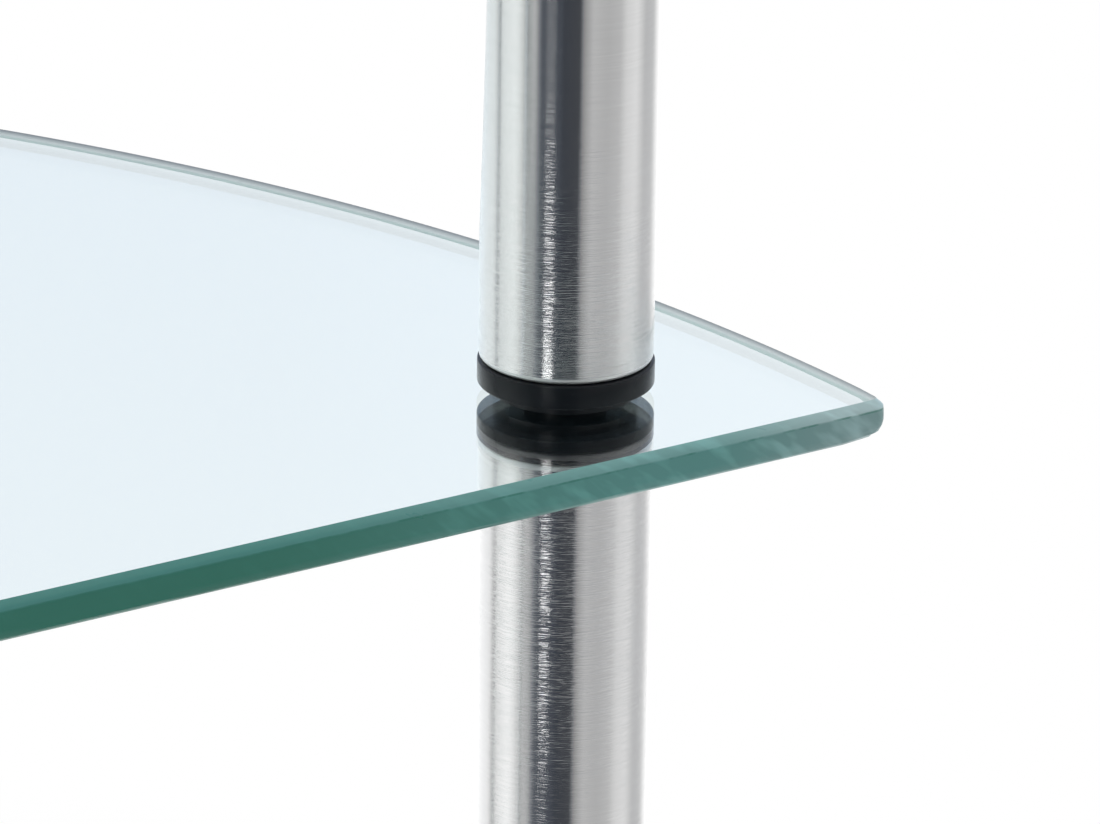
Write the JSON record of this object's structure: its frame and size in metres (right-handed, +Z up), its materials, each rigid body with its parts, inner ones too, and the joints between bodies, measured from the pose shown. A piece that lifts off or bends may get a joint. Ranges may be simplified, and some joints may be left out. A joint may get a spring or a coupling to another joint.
{
  "type": "glass etagere",
  "caption": "Quarter-round corner etagere: clear glass shelves on brushed steel tube posts, with black stepped washers at each joint, end caps and screw-in levelling feet.",
  "frame": {"origin": "on the floor, under the centre of the square that holds the quarter-round shelves", "axes": "+Z up; the wall corner of the shelves is at -X, +Y, the straight sides run along -X and +Y, and the round front faces +X, -Y"},
  "size_m": [0.35, 0.35, 0.6689],
  "materials": {
    "clear_glass": "clear tempered float glass, polished faces, ground edges with a green tint",
    "brushed_steel": "stainless steel brushed round the tube",
    "washer_plastic": "black moulded plastic, satin",
    "foot_plastic": "black moulded plastic, fine matt texture",
    "zinc_steel": "bright zinc plated thread"
  },
  "bodies": {
    "frame": {"glass_shelf_bottom": "clear_glass", "glass_shelf_middle": "clear_glass", "glass_shelf_top": "clear_glass", "leg_corner": "brushed_steel", "washer_under_bottom_corner": "washer_plastic", "washer_over_bottom_corner": "washer_plastic", "stud_bottom_corner": "zinc_steel", "washer_under_middle_corner": "washer_plastic", "washer_over_middle_corner": "washer_plastic", "stud_middle_corner": "zinc_steel", "washer_under_top_corner": "washer_plastic", "washer_over_top_corner": "washer_plastic", "stud_top_corner": "zinc_steel", "tube_lower_corner": "brushed_steel", "tube_upper_corner": "brushed_steel", "end_cap_corner": "brushed_steel", "leg_right": "brushed_steel", "washer_under_bottom_right": "washer_plastic", "washer_over_bottom_right": "washer_plastic", "stud_bottom_right": "zinc_steel", "washer_under_middle_right": "washer_plastic", "washer_over_middle_right": "washer_plastic", "stud_middle_right": "zinc_steel", "washer_under_top_right": "washer_plastic", "washer_over_top_right": "washer_plastic", "stud_top_right": "zinc_steel", "tube_lower_right": "brushed_steel", "tube_upper_right": "brushed_steel", "end_cap_right": "brushed_steel", "leg_front": "brushed_steel", "washer_under_bottom_front": "washer_plastic", "washer_over_bottom_front": "washer_plastic", "stud_bottom_front": "zinc_steel", "washer_under_middle_front": "washer_plastic", "washer_over_middle_front": "washer_plastic", "stud_middle_front": "zinc_steel", "washer_under_top_front": "washer_plastic", "washer_over_top_front": "washer_plastic", "stud_top_front": "zinc_steel", "tube_lower_front": "brushed_steel", "tube_upper_front": "brushed_steel", "end_cap_front": "brushed_steel"},
    "foot_corner": {"foot_pad_corner": "foot_plastic", "foot_screw_corner": "zinc_steel"},
    "foot_right": {"foot_pad_right": "foot_plastic", "foot_screw_right": "zinc_steel"},
    "foot_front": {"foot_pad_front": "foot_plastic", "foot_screw_front": "zinc_steel"}
  },
  "joints": [
    {"name": "foot_corner_travel", "type": "slide", "parent": "frame", "child": "foot_corner", "axis": [0, 0, -1], "range_m": [0, 0.01]},
    {"name": "foot_right_travel", "type": "slide", "parent": "frame", "child": "foot_right", "axis": [0, 0, -1], "range_m": [0, 0.01]},
    {"name": "foot_front_travel", "type": "slide", "parent": "frame", "child": "foot_front", "axis": [0, 0, -1], "range_m": [0, 0.01]}
  ]
}
